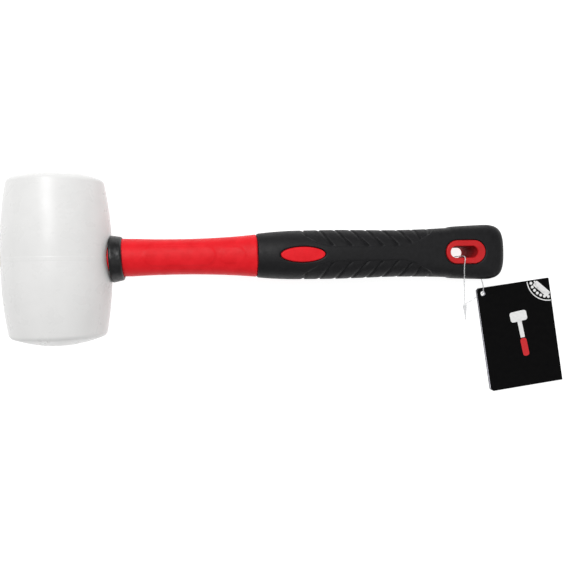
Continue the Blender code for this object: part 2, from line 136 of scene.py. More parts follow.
# The loop's route: millimetres from the head's middle along X and Y, and from the floor
LOOP_ROUTE = [
    (278.6, -36.6, 1.6), (279.6, -36.2, 1.1), (281.6, -35.4, 0.6), (284.4, -33.7, 0.4),
    (287.2, -31.9, 0.4), (289.3, -30.5, 0.6), (290.4, -29.8, 1.3), (290.8, -29.5, 2.3),
    (290.9, -29.0, 3.3), (290.9, -28.0, 4.1), (290.9, -26.4, 4.35), (290.9, -24.8, 4.2),
    (290.9, -22.9, 3.3), (290.8, -20.4, 1.7), (290.0, -17.6, 0.8), (287.2, -13.8, 0.4),
    (283.0, -10.8, 0.4), (278.5, -9.3, 0.4), (275.2, -7.8, 0.4), (273.2, -5.8, 0.4),
    (271.7, -4.1, 0.6), (270.8, -3.0, 1.8), (270.5, -2.8, 4.0), (270.3, -2.7, 9.0),
    (270.2, -2.7, 16.0), (270.2, -2.8, 22.5), (270.3, -3.0, 25.6), (270.3, -3.8, 27.4),
    (270.2, -5.4, 27.9), (270.0, -8.0, 27.5), (270.0, -10.5, 26.8), (270.2, -13.0, 25.9),
    (270.7, -15.5, 24.5), (271.3, -17.4, 22.3), (272.1, -18.9, 19.5), (273.4, -21.0, 15.6),
    (274.9, -24.4, 11.0), (276.2, -28.6, 7.0), (277.2, -32.4, 4.1), (277.5, -35.2, 2.3),
    (277.6, -36.6, 1.7)]
LOCK_START = (277.9, -37.1, 1.75)
LOCK_TIP = (278.8, -48.3, 0.8)

# Grip pattern: grooves that run from the side towards the spine, and the spine's edge
GROOVE_FIRST = 160.9
GROOVE_PITCH = 10.87
GROOVE_ENDS = [(162.6, 10.4), (179.9, 5.3), (192.6, 5.0), (204.4, 4.5), (214.2, 4.6),
               (224.6, 4.9), (233.9, 6.5), (240.4, 9.1), (247.0, 12.0)]
GROOVE_FALL = 2.7                    # the surface falls slowly towards the butt, then steps up
GROOVE_STEP = 0.85
GROOVE_DEPTH = 0.85
GROOVE_CURVE = 1.7                   # power of a groove's sweep, and of its slow fall
GROOVE_FALL_CURVE = 1.6
SPINE_EDGE = [(150, 20.0), (156, 17.0), (160, 13.5), (165, 10.0), (170, 7.3), (176, 5.2),
              (184, 4.6), (228, 4.6), (234, 6.0), (240, 8.8), (246, 12.3), (250, 16.0),
              (254, 20.0)]
PANEL_DEPTH = 0.4                    # of the grooved sides below the spine
WINDOW_MARGIN = 0.5                  # between a boss and the grip's window round it
WINDOW_LIP = 0.8                     # radius of the window's rounded edge
WINDOW_LIP_START = 0.45              # from the boss
WINDOW_LIP_SHARE = 0.6               # how much of that rounding is kept
GRIP_FRONT = 130.6                   # where the rounding of the front edge starts
GRIP_FRONT_LENGTH = 1.2
GRIP_FRONT_DEPTH = 0.6
GRIP_ZONES = [(129.4, 131.0, 0.2), (131.0, 156.0, 0.7), (156.0, 254.0, 0.34),
              (254.0, 294.0, 0.6), (294.0, 300.6, 0.4), (300.6, 301.5, 0.15)]    # row spacing

# Generic print on the tag: a mallet pictogram, and a ring of dots under a band in the corner
INK_GAP = 0.012
INK_THICKNESS = 0.03
PICTOGRAM_MIDDLE = (24.3, -32.6)
PICTOGRAM_TURN = radians(94)
RING_INSET = 0.6                     # from the card's corner to the middle of the ring
RING_BANDS = {"outer": (15.2, 15.9), "inner": (9.6, 10.5)}
RING_DOTS = 7
RING_DOT_PLACE = 12.9
RING_DOT_RADIUS = 1.05
BAND_PLACE = (-5.6, -6.4)
BAND_TURN = radians(-48)

# Studio, in metres, degrees and watts; the camera's X is from the head's middle
CAMERA_PLACE = (0.1232, -0.0117, 0.4719)
CAMERA_TURN = (-0.717, -2.860, -1.096)
FOCAL_LENGTH = 42.5
SENSOR_WIDTH = 36.0
FLOOR_SIZE = 40.0
FLOOR_DROP = 0.0003
FLOOR_GREY = 0.42
FLOOR_GLOW = 0.86
WORLD_STRENGTH = 0.36
LIGHTS = [("key", (-0.22, 0.5, 1.05), (-0.02, 0, 0.02), (0.4, 0.8), 9.8),
          ("fill", (0.6, -0.3, 0.9), (0.0, 0, 0), (0.8, 0.8), 1.2)]


# Numbers and curves --------------------------------------------------------------------------

def smoothstep(low, high, x):
    """0 up to low, 1 from high, and an S between them."""
    u = np.clip((x - low) / (high - low), 0.0, 1.0)
    return u * u * (3 - 2 * u)


def catmull_rom(points, t):
    """Value at parameter t, in spans, of a smooth curve through a list of tuples."""
    i = min(int(t), len(points) - 2)
    u = t - i
    p0, p1, p2, p3 = (points[min(max(k, 0), len(points) - 1)] for k in range(i - 1, i + 3))
    return tuple(
        b + 0.5 * u * (c - a + u * (2 * a - 5 * b + 4 * c - d + u * (3 * (b - c) + d - a)))
        for a, b, c, d in zip(p0, p1, p2, p3))


def dense_table(points, per_span=16):
    """Closely spaced rows of the smooth curve through a list of stations."""
    count = per_span * (len(points) - 1)
    return np.array([catmull_rom(points, i / per_span) for i in range(count + 1)])


def stations_at(points, places):
    """Stations of a smooth handle at the given distances from the head's middle."""
    table = dense_table(points)
    return np.column_stack([places] + [np.interp(places, table[:, 0], table[:, k])
                                       for k in (1, 2, 3)])


def even_places(start, end, step):
    """Places from start to end, about a step apart."""
    return np.linspace(start, end, max(2, round((end - start) / step) + 1))


def section_rings(stations, sides, samples=2049):
    """Superellipse rings with evenly spaced points: an array (stations, sides, 3)."""
    angle = np.linspace(0, 2 * pi, samples)
    c, s = np.cos(angle), np.sin(angle)
    goals = np.arange(sides) / sides
    rings = np.empty((len(stations), sides, 3))
    for i, (x, w, t, power) in enumerate(stations):
        y = w * np.abs(c) ** (2 / power) * np.sign(c)
        z = t * np.abs(s) ** (2 / power) * np.sign(s)
        length = np.concatenate([[0], np.cumsum(np.hypot(np.diff(y), np.diff(z)))])
        rings[i, :, 0] = x
        rings[i, :, 1] = np.interp(goals * length[-1], length, y)
        rings[i, :, 2] = np.interp(goals * length[-1], length, z)
    return rings


def ring_normals(rings):
    """Outward directions across the handle, for an array of rings."""
    along = np.roll(rings, -1, axis=1) - np.roll(rings, 1, axis=1)
    normal = np.stack([np.zeros(rings.shape[:2]), along[..., 2], -along[..., 1]], axis=-1)
    return normal / np.maximum(np.linalg.norm(normal, axis=-1, keepdims=True), 1e-9)


def ellipse(shape, offset=0.0, count=96):
    """Outline points of an ellipse, moved out by the offset."""
    length, width, middle = shape
    angle = 2 * pi * np.arange(count) / count
    return np.column_stack([middle + (length / 2 + offset) * np.cos(angle),
                            (width / 2 + offset) * np.sin(angle)])


def stadium(shape, offset=0.0, count=96):
    """Outline points of a stadium, moved out by the offset."""
    length, width, middle = shape
    radius, half_run = width / 2 + offset, (length - width) / 2
    angle = 2 * pi * (np.arange(count) + 0.5) / count
    c, s = np.cos(angle), np.sin(angle)
    return np.column_stack([middle + np.sign(c) * half_run + radius * c, radius * s])


def stadium_distance(x, y, shape):
    """Distance outside a stadium, negative inside."""
    length, width, middle = shape
    beyond = np.maximum(np.abs(x - middle) - (length - width) / 2, 0.0)
    return np.hypot(beyond, y) - width / 2


def ellipse_distance(x, y, shape):
    """About the distance outside an ellipse, negative inside."""
    length, width, middle = shape
    a, b = length / 2, width / 2
    u, v = (x - middle) / a, y / b
    level = np.hypot(u, v)
    slope = np.hypot(u / a, v / b) / np.maximum(level, 1e-6)
    return (level - 1.0) / np.maximum(slope, 1e-6)


# Meshes --------------------------------------------------------------------------------------

def new_object(name, data, matrix=None):
    """Object at the origin; a matrix moves its data to where the piece is."""
    item = bpy.data.objects.new(name, data)
    bpy.context.scene.collection.objects.link(item)
    if matrix is not None:
        data.transform(matrix)
    return item


def finish_piece(item, material, angle=0.6):
    """Give a piece its one material, and smooth shading between its sharp edges."""
    item.data.materials.clear()
    item.data.materials.append(material)
    for polygon in item.data.polygons:
        polygon.material_index = 0
    item.data.shade_smooth()
    item.data.set_sharp_from_angle(angle=angle)
    return item


def grid_object(name, rings, matrix=None):
    """Closed mesh through an array of rings in millimetres, (rings, sides, 3)."""
    count, sides = rings.shape[:2]
    index = np.arange(count * sides).reshape(count, sides)
    near, far = index[:-1], index[1:]
    faces = np.stack([near, np.roll(near, -1, 1), np.roll(far, -1, 1), far], -1)
    faces = faces.reshape(-1, 4).tolist()
    faces += [index[0][::-1].tolist(), index[-1].tolist()]
    data = bpy.data.meshes.new(name)
    data.from_pydata((rings.reshape(-1, 3) * MM).tolist(), [], faces)
    data.validate()
    item = new_object(name, data, matrix)
    fix_normals(item)
    return item


def fix_normals(item):
    """Turn all faces outwards."""
    mesh = bmesh.new()
    mesh.from_mesh(item.data)
    bmesh.ops.recalc_face_normals(mesh, faces=mesh.faces)
    mesh.to_mesh(item.data)
    mesh.free()


def turned_rings(profile, sides, axis="X"):
    """Rings of a solid of revolution from (radius, distance along the axis) points."""
    profile = np.array(profile, float)
    angle = 2 * pi * np.arange(sides) / sides
    rings = np.empty((len(profile), sides, 3))
    along, first, second = {"X": (0, 1, 2), "Y": (1, 2, 0), "Z": (2, 0, 1)}[axis]
    rings[..., along] = profile[:, 1, None]
    rings[..., first] = profile[:, 0, None] * np.cos(angle)
    rings[..., second] = profile[:, 0, None] * np.sin(angle)
    return rings


def prism_rings(outlines, heights):
    """Rings of an upright solid through outlines with the same number of points."""
    return np.stack([np.column_stack([o, np.full(len(o), h)])
                     for o, h in zip(outlines, heights)])


def cut(item, cutter, operation="DIFFERENCE"):
    """Apply a Boolean and remove the cutter."""
    modifier = item.modifiers.new("cut", "BOOLEAN")
    modifier.operation = operation
    modifier.object = cutter
    modifier.solver = "MANIFOLD"
    bpy.context.view_layer.update()
    depsgraph = bpy.context.evaluated_depsgraph_get()
    data = bpy.data.meshes.new_from_object(item.evaluated_get(depsgraph))
    item.modifiers.clear()
    old = item.data
    item.data = data
    bpy.data.meshes.remove(old)
    bpy.data.objects.remove(cutter)
    return item


def roughen(item, size, depth, seed):
    """Slight unevenness of a moulded surface, inwards by up to the depth in millimetres."""
    shift = Vector((seed * 7.3, seed * 3.1, seed * 5.7))
    count = len(item.data.vertices)
    places, normals = np.empty(count * 3), np.empty(count * 3)
    item.data.vertices.foreach_get("co", places)
    item.data.vertices.foreach_get("normal", normals)
    places = places.reshape(-1, 3)
    scaled = places / (size * MM)
    value = np.array([noise.noise(Vector(p) + shift) for p in scaled.tolist()])
    places += normals.reshape(-1, 3) * ((value - 1) / 2 * depth * MM)[:, None]
    item.data.vertices.foreach_set("co", places.ravel())
    item.data.update()


# Materials -----------------------------------------------------------------------------------

def add_node(tree, kind, **settings):
    node = tree.nodes.new(kind)
    for name, value in settings.items():
        setattr(node, name, value)
    return node


def noise_node(tree, coordinates, scale, detail=3.0, roughness=0.5, stretch=None):
    texture = add_node(tree, "ShaderNodeTexNoise")
    texture.inputs["Scale"].default_value = scale
    texture.inputs["Detail"].default_value = detail
    texture.inputs["Roughness"].default_value = roughness
    source = coordinates
    if stretch:
        mapping = add_node(tree, "ShaderNodeMapping")
        mapping.inputs["Scale"].default_value = stretch
        tree.links.new(coordinates, mapping.inputs["Vector"])
        source = mapping.outputs["Vector"]
    tree.links.new(source, texture.inputs["Vector"])
    return texture.outputs["Fac"]


def remap(tree, value, low, high, start=0.3, end=0.7):
    node = add_node(tree, "ShaderNodeMapRange")
    node.inputs["From Min"].default_value = start
    node.inputs["From Max"].default_value = end
    node.inputs["To Min"].default_value = low
    node.inputs["To Max"].default_value = high
    tree.links.new(value, node.inputs["Value"])
    return node.outputs["Result"]


def blend_colours(tree, value, stops):
    ramp = add_node(tree, "ShaderNodeValToRGB")
    elements = ramp.color_ramp.elements
    while len(elements) < len(stops):
        elements.new(0.5)
    for element, (place, colour) in zip(elements, stops):
        element.position = place
        element.color = (*colour, 1.0)
    tree.links.new(value, ramp.inputs["Fac"])
    return ramp.outputs["Color"]


def bump(tree, height, strength, distance, normal=None):
    node = add_node(tree, "ShaderNodeBump")
    node.inputs["Strength"].default_value = strength
    node.inputs["Distance"].default_value = distance
    tree.links.new(height, node.inputs["Height"])
    if normal is not None:
        tree.links.new(normal, node.inputs["Normal"])
    return node.outputs["Normal"]


def procedural(name, stops, colour_scale, gloss, gloss_scale, bumps, stretch=None,
               **sockets):
    """Material whose colour, roughness and fine relief come from noise at real scale.

    stops: colour ramp; gloss: lowest and highest roughness; bumps: (scale, strength,
    depth in metres) from coarse to fine; stretch: how much each axis of the noise is
    squeezed; sockets: constants of the shader.
    """
    material = bpy.data.materials.new(name)
    material.use_nodes = True
    tree = material.node_tree
    shader = tree.nodes["Principled BSDF"]
    place = add_node(tree, "ShaderNodeTexCoord").outputs["Object"]
    colour_noise = noise_node(tree, place, colour_scale, 4.0, 0.6, stretch)
    tree.links.new(blend_colours(tree, colour_noise, stops), shader.inputs["Base Color"])
    gloss_noise = noise_node(tree, place, gloss_scale, 3.0, 0.6, stretch)
    tree.links.new(remap(tree, gloss_noise, *gloss), shader.inputs["Roughness"])
    normal = None
    for scale, strength, depth in bumps:
        normal = bump(tree, noise_node(tree, place, scale, 2.0, 0.5, stretch), strength, depth,
                      normal)
    if normal is not None:
        tree.links.new(normal, shader.inputs["Normal"])
    for socket, value in sockets.items():
        shader.inputs[socket.replace("_", " ")].default_value = value
    return material


def tones(dark, light):
    """Colour ramp between two close tones."""
    return [(0.3, dark), (0.7, light)]


def make_materials():
    made = {}
    made["head"] = procedural(
        "head_rubber", tones((0.75, 0.749, 0.742), (0.785, 0.783, 0.776)),
        colour_scale=60.0, gloss=(0.24, 0.36), gloss_scale=90.0,
        bumps=[(24.0, 0.1, 0.0002), (700.0, 0.1, 0.00008)], Specular_IOR_Level=0.3)
    made["collar"] = procedural(
        "collar_rubber", tones((0.003, 0.003, 0.0034), (0.009, 0.009, 0.010)),
        colour_scale=300.0, gloss=(0.28, 0.46), gloss_scale=420.0,
        bumps=[(180.0, 0.7, 0.0006), (1400.0, 0.3, 0.0001)], Specular_IOR_Level=0.4)
    made["grip"] = procedural(
        "grip_rubber", tones((0.0035, 0.0035, 0.0042), (0.007, 0.007, 0.0082)),
        colour_scale=350.0, gloss=(0.42, 0.6), gloss_scale=260.0,
        bumps=[(120.0, 0.2, 0.0003), (1700.0, 0.45, 0.00016)], Specular_IOR_Level=0.26)
    made["jacket"] = procedural(
        "jacket_plastic", tones((0.70, 0.010, 0.016), (0.80, 0.016, 0.024)),
        colour_scale=140.0, gloss=(0.32, 0.5), gloss_scale=330.0,
        bumps=[(160.0, 0.35, 0.0004), (1100.0, 0.35, 0.00014)], Specular_IOR_Level=0.12)
    # Painted shade: the slot's rim gets a deeper copy of the jacket's red, standing in for the
    # shade on it.
    made["rim"] = procedural(
        "rim_painted_shade", tones((0.50, 0.010, 0.012), (0.60, 0.014, 0.018)),
        colour_scale=140.0, gloss=(0.3, 0.46), gloss_scale=330.0,
        bumps=[(160.0, 0.3, 0.0003), (1100.0, 0.25, 0.0001)], Specular_IOR_Level=0.25)
    made["lock"] = procedural(
        "lock_nylon", tones((0.80, 0.81, 0.82), (0.90, 0.905, 0.91)),
        colour_scale=500.0, gloss=(0.25, 0.4), gloss_scale=600.0,
        bumps=[(900.0, 0.2, 0.0001)],
        Transmission_Weight=0.12, IOR=1.4, Specular_IOR_Level=0.3)
    # Painted shade: the slot's walls get the jacket's red made darker and matt, standing in for
    # the shade inside the slot.
    made["slot"] = procedural(
        "slot_wall_painted_shade", tones((0.26, 0.006, 0.008), (0.36, 0.010, 0.013)),
        colour_scale=200.0, gloss=(0.6, 0.8), gloss_scale=330.0,
        bumps=[(260.0, 0.3, 0.0002), (1500.0, 0.4, 0.0001)], Specular_IOR_Level=0.15)
    made["fibreglass"] = procedural(
        "fibreglass", [(0.3, (0.55, 0.47, 0.26)), (0.5, (0.80, 0.74, 0.54)),
                       (0.75, (0.66, 0.58, 0.36))],
        colour_scale=900.0, gloss=(0.35, 0.55), gloss_scale=500.0,
        bumps=[(1500.0, 0.4, 0.0001)], stretch=(0.03, 1.0, 1.0), Specular_IOR_Level=0.5)
    made["epoxy"] = procedural(
        "epoxy", tones((0.50, 0.40, 0.22), (0.66, 0.56, 0.36)),
        colour_scale=220.0, gloss=(0.12, 0.3), gloss_scale=200.0,
        bumps=[(160.0, 0.3, 0.0004)], Specular_IOR_Level=0.5)
    made["nylon"] = procedural(
        "nylon", tones((0.90, 0.91, 0.92), (0.97, 0.97, 0.98)),
        colour_scale=500.0, gloss=(0.2, 0.34), gloss_scale=600.0,
        bumps=[(900.0, 0.2, 0.0001)],
        Transmission_Weight=0.55, IOR=1.4, Specular_IOR_Level=0.4)
    made["card"] = procedural(
        "tag_card", tones((0.0016, 0.0016, 0.0018), (0.003, 0.0029, 0.003)),
        colour_scale=300.0, gloss=(0.42, 0.58), gloss_scale=180.0,
        bumps=[(70.0, 0.15, 0.0003), (1600.0, 0.15, 0.00005)], Specular_IOR_Level=0.05)
    # Painted shade: the pages' white paper is tinted lavender and made a little darker, as it
    # looks in shade.
    made["paper"] = procedural(
        "tag_paper", tones((0.76, 0.75, 0.83), (0.86, 0.855, 0.90)),
        colour_scale=500.0, gloss=(0.7, 0.9), gloss_scale=400.0,
        bumps=[(2500.0, 0.3, 0.00006)], Specular_IOR_Level=0.2)
    inks = {"ink_white": tones((0.78, 0.78, 0.78), (0.88, 0.88, 0.87)),
            "ink_red": tones((0.58, 0.015, 0.02), (0.68, 0.022, 0.028))}
    for name, stops in inks.items():
        made[name] = procedural(name, stops, colour_scale=700.0, gloss=(0.4, 0.55),
                                gloss_scale=300.0, bumps=[(1600.0, 0.15, 0.00004)],
                                Specular_IOR_Level=0.3)
    return made


# Head ----------------------------------------------------------------------------------------

def barrel_radius(height, rim):
    """Radius of the barrel at a height along its axis; rim is the height of its ends."""
    run = np.maximum(np.abs(height) - HEAD_LAND, 0.0)
    full_run = rim - HEAD_LAND
    sag = HEAD_RADIUS - HEAD_RIM
    bow = (full_run ** 2 + sag ** 2) / (2 * sag)
    return HEAD_RADIUS - bow + np.sqrt(bow ** 2 - run ** 2)


def dome_height(radius):
    """Height of a striking face at a radius: flat in the middle, then a low dome."""
    return HEAD_HALF - np.maximum(radius ** 2 - FACE_FLAT ** 2, 0.0) / (2 * FACE_BOW)


def face_profile():
    """Radii and heights over an end, from the barrel's side to the middle."""
    low, high = FACE_EDGE_TURN
    edge_centre = HEAD_RIM - FACE_EDGE * cos(low)
    dome_radius = edge_centre + FACE_EDGE * cos(high)
    centre_height = dome_height(dome_radius) - FACE_EDGE * sin(high)
    turn = np.linspace(low, high, 15)
    dome = np.linspace(dome_radius, POLE, 40)[1:]
    return (np.r_[edge_centre + FACE_EDGE * np.cos(turn), dome],
            np.r_[centre_height + FACE_EDGE * np.sin(turn), dome_height(dome)])


def make_head(material):
    """Barrel with domed ends, a faint parting band round the girth and a bored eye."""
    face_radii, face_heights = face_profile()
    rim = face_heights[0]
    barrel_rows = np.linspace(-rim, rim, 111)[1:-1]
    band_rows = np.linspace(-3.0, 2.0, 26)
    heights = np.unique(np.concatenate([barrel_rows, band_rows]))
    radii = barrel_radius(heights, rim)
    band_low, band_high = PARTING_BAND
    upper_edge = smoothstep(band_high - 0.1, band_high + 0.3, heights)
    lower_edge = smoothstep(band_low - 0.3, band_low + 0.1, heights)
    radii += PARTING_RISE * (lower_edge - upper_edge)
    radii -= PARTING_STEP * upper_edge
    end = list(zip(face_radii, face_heights))
    profile = [(r, -h) for r, h in reversed(end)] + list(zip(radii, heights)) + end
    head = grid_object("mallet_head", turned_rings(profile, 192, "Y"), POSE)
    bore = [(EYE_RADIUS + extra, depth - HEAD_RADIUS) for extra, depth in EYE_MOUTH]
    bore.append((EYE_RADIUS, HEAD_RADIUS + 2.0))
    cut(head, grid_object("eye_cutter", turned_rings(bore, 96), POSE))
    roughen(head, size=26.0, depth=0.05, seed=1)
    return finish_piece(head, material, angle=0.5)


def barrel_cutter(radius, reach=30.0):
    """Cylinder along the barrel's axis, for what has to clear the barrel."""
    rings = turned_rings([(radius, -reach), (radius, reach)], 256, "Y")
    return grid_object("barrel_cutter", rings, POSE)


def make_collar(material):
    """Rubber ring that sits slightly askew on the neck and like a saddle on the barrel."""
    edge_radius, edge_place = COLLAR_END_RADIUS - COLLAR_EDGE, COLLAR_END - COLLAR_EDGE
    profile = [(POLE, COLLAR_END - 0.15), (edge_radius - 0.4, COLLAR_END)]
    profile += [(edge_radius + COLLAR_EDGE * cos(a), edge_place + COLLAR_EDGE * sin(a))
                for a in np.linspace(pi / 2, 0, 9)]
    profile += [(14.62, 39.6), (14.9, 38.0), (15.15, 36.6), (COLLAR_FOOT_RADIUS, 35.4),
                (COLLAR_FOOT_RADIUS, 34.6), (15.2, 34.05), (14.7, COLLAR_START),
                (POLE, COLLAR_START)]
    centre = Matrix.Translation(Vector((COLLAR_END * (1 - cos(COLLAR_SKEW)),
                                        COLLAR_SHIFT - COLLAR_END * sin(COLLAR_SKEW), 0)) * MM)
    skewed = POSE @ centre @ Matrix.Rotation(COLLAR_SKEW, 4, "Z")
    collar = grid_object("neck_collar", turned_rings(profile, 160), skewed)
    neck_radius = NECK[0][1]
    bore_radius = neck_radius + GAP
    bore = [(bore_radius, 20.0), (bore_radius, COLLAR_END - 0.8),
            (bore_radius + 0.5, COLLAR_END + 0.3), (neck_radius + 3.0, COLLAR_END + 3.0)]
    cut(collar, grid_object("bore_cutter", turned_rings(bore, 128), POSE))
    cut(collar, barrel_cutter(HEAD_RADIUS + GAP))
    roughen(collar, size=4.0, depth=0.08, seed=2)
    return finish_piece(collar, material, angle=0.7)


def make_eye_bond(material):
    """Epoxy cup round the tenon; its end is a poured, slightly hollow surface."""
    outer, bore = EYE_RADIUS - SNUG, TENON[0][1] + SNUG
    seat = CORE_START - GAP
    end = seat - BOND_CAP
    meniscus = [(r, end + BOND_HOLLOW * (1 - (r / outer) ** 4) + 0.1)
                for r in np.linspace(POLE, outer, 14)]
    profile = meniscus + [(outer, 20.0), (outer, BOND_END), (bore, BOND_END), (bore, seat),
                          (POLE, seat)]
    bond = grid_object("epoxy_bond", turned_rings(profile, 96), POSE)
    roughen(bond, size=3.0, depth=0.12, seed=3)
    return finish_piece(bond, material, angle=0.7)


def make_core(material):
    """Pultruded rod with chamfered ends and fine grooves along its length."""
    sides, groove_every = 120, 4
    end_radius = CORE_RADIUS - CORE_CHAMFER
    profile = [(POLE, CORE_START), (end_radius, CORE_START)]
    profile += [(CORE_RADIUS, x) for x in even_places(CORE_START + CORE_CHAMFER,
                                                      CORE_END - CORE_CHAMFER, 6.0)]
    profile += [(end_radius, CORE_END), (POLE, CORE_END)]
    rings = turned_rings(profile, sides)
    share = 1.0 - CORE_RELIEF * (np.arange(sides) % groove_every == 0)
    rings[..., 1] *= share
    rings[..., 2] *= share
    core = grid_object("fibreglass_core", rings, POSE)
    return finish_piece(core, material, angle=0.5)


# Jacket --------------------------------------------------------------------------------------

def neck_relief(rings):
    """Rise of the neck's moulded panels and parting lines above the plain section."""
    x, y, z = rings[..., 0], rings[..., 1], rings[..., 2]
    rise = np.zeros_like(x)
    for outline, height in NECK_PANELS:
        inside = -stadium_distance(x, y - NECK_PANEL_SHIFT, outline)
        rise = rise + height * smoothstep(-0.2, 0.3, inside)
    rise = rise * (z > 0)
    seam = np.exp(-(z / SEAM_WIDTH) ** 2) * SEAM_RISE
    return rise + seam * smoothstep(45.0, 48.0, x)


def boss_rings(outline_of, insets, high):
    """Upper half of a boss, with a rounded edge and a top that follows the grip."""
    edge = [(-BOSS_BEVEL * (1 - cos(a)), high - BOSS_BEVEL + BOSS_BEVEL * sin(a))
            for a in np.linspace(0, pi / 2, 7)]
    top = [(-BOSS_BEVEL - inset, high - BOSS_DISH) for inset in insets]
    rings = []
    for offset, rise in edge + top:
        outline = outline_of(offset)
        height = section_height(GRIP_POINTS, outline[:, 0], outline[:, 1]) + rise
        rings.append(np.column_stack([outline, height]))
    return np.stack(rings)


def section_height(points, x, y):
    """Height of the handle's surface above its middle plane."""
    table = dense_table(points)
    w, t, power = (np.interp(x, table[:, 0], table[:, k]) for k in (1, 2, 3))
    inside = np.clip(1 - (np.abs(y) / w) ** power, 0.0, 1.0)
    return t * inside ** (1 / power)


def make_boss(name, outline_of, insets):
    """Boss right through the handle; it stands out less underneath."""
    upper = boss_rings(outline_of, insets, BOSS_RISE)
    lower = boss_rings(outline_of, insets, BOSS_RISE_UNDER) * np.array([1, 1, -1])
    return grid_object(name, np.concatenate([lower[::-1], upper]), POSE)


def make_jacket(material, rim_shade_material, wall_shade_material):
    """Red shell: tenon, neck with moulded panels, sleeve under the grip, and two bosses."""
    tenon = stations_at(TENON, even_places(-31.0, 35.5, 8.0))
    neck = stations_at(NECK, np.r_[35.6, even_places(36.0, 128.4, 0.7)])
    shoulder_places, turned_in = np.array(NECK_SHOULDER).T
    shoulder = stations_at(NECK, shoulder_places)
    shoulder[:, 1:3] -= turned_in[:, None]
    sleeve = stations_at(SLEEVE, even_places(129.15, 296.0, 3.0))
    rings = section_rings(np.concatenate([tenon, neck, shoulder, sleeve]), 160)
    neck_rows = slice(len(tenon), len(tenon) + len(neck))
    part = rings[neck_rows]
    rings[neck_rows] = part + ring_normals(part) * neck_relief(part)[..., None]
    jacket = grid_object("handle_shell", rings, POSE)

    foot_profile = [(POLE, NECK_FOOT_START), (NECK_FOOT_RADIUS, NECK_FOOT_START),
                    (NECK_FOOT_RADIUS, NECK_FOOT_END), (POLE, NECK_FOOT_END)]
    foot = grid_object("neck_foot", turned_rings(foot_profile, 150), POSE)
    cut(foot, barrel_cutter(HEAD_RADIUS + GAP))
    cut(jacket, foot, "UNION")
    cut(jacket, make_boss("badge", lambda d: ellipse(BADGE, d), (1.2, 2.4, 3.4)), "UNION")
    cut(jacket, make_boss("rim", lambda d: stadium(RIM, d), (1.5, 3.5, 5.5)), "UNION")
    bore_radius = CORE_RADIUS + SNUG
    bore = turned_rings([(bore_radius, CORE_START - 9.0), (bore_radius, CORE_END + GAP)], 96)
    cut(jacket, grid_object("bore_cutter", bore, POSE))
    cut(jacket, slot_cutter())
    roughen(jacket, size=9.0, depth=0.05, seed=4)
    finish_piece(jacket, material, angle=0.55)
    return colour_slot(jacket, rim_shade_material, wall_shade_material)


def colour_slot(jacket, rim_shade_material, wall_shade_material):
    """Give the slot's rim a deeper red and its walls a darker, rougher red: both are painted
    shade, darker copies of the jacket's red plastic.
    """
    jacket.data.materials.append(rim_shade_material)
    jacket.data.materials.append(wall_shade_material)
    rim_shade_index, wall_shade_index = 1, 2
    # Painted shade: polygons of the rim and of the slot's upright walls get the darker reds.
    to_handle = POSE.inverted()
    for polygon in jacket.data.polygons:
        x, y, z = (to_handle @ polygon.center) / MM
        if stadium_distance(x, y, RIM) > 0.1:
            continue
        upright = abs((to_handle.to_3x3() @ polygon.normal).z) < 0.3
        inside = abs(z) < SLOT_WALL_HALF and stadium_distance(x, y, SLOT_TOP) < 0.4
        polygon.material_index = wall_shade_index if inside and upright else rim_shade_index
    return jacket


def slot_cutter():
    """Tapered slot with rounded mouths at both faces of the butt."""
    profile = SLOT_MOUTH + [(-height, extra) for height, extra in reversed(SLOT_MOUTH)]
    half = BUTT[0][2]
    outlines = []
    for height, extra in profile:
        u = (np.clip(height, -half, half) + half) / (2 * half)
        shape = [b + (t - b) * u for b, t in zip(SLOT_BOTTOM, SLOT_TOP)]
        outlines.append(stadium(shape, extra))
    heights = [height for height, extra in profile]
    return grid_object("slot_cutter", prism_rings(outlines, heights), POSE)


# Grip ----------------------------------------------------------------------------------------

def groove_depth(s, c, quarter, end_c):
    """Depth of the grooves at distance s along the handle and arc c from the spine.

    quarter is the arc from the spine to the side, and end_c the arc where each groove ends.
    """
    depth = np.zeros_like(s)
    for k, (end_s, _) in enumerate(GROOVE_ENDS):
        start_s = GROOVE_FIRST + GROOVE_PITCH * k
        reach = quarter - end_c[k]
        u = np.clip((quarter - c) / reach, 0.0, 1.3)
        middle = start_s + (end_s - start_s) * u ** GROOVE_CURVE
        slope = (end_s - start_s) * GROOVE_CURVE * u ** (GROOVE_CURVE - 1) / reach
        distance = (s - middle) / np.sqrt(1 + slope ** 2)
        fall = np.clip(1 + distance / GROOVE_FALL, 0.0, 1.0) ** GROOVE_FALL_CURVE
        profile = fall * (1 - smoothstep(0.0, GROOVE_STEP, distance))
        fade = 1 - smoothstep(0.9, 1.04, u)
        depth = np.maximum(depth, GROOVE_DEPTH * profile * fade)
    return depth


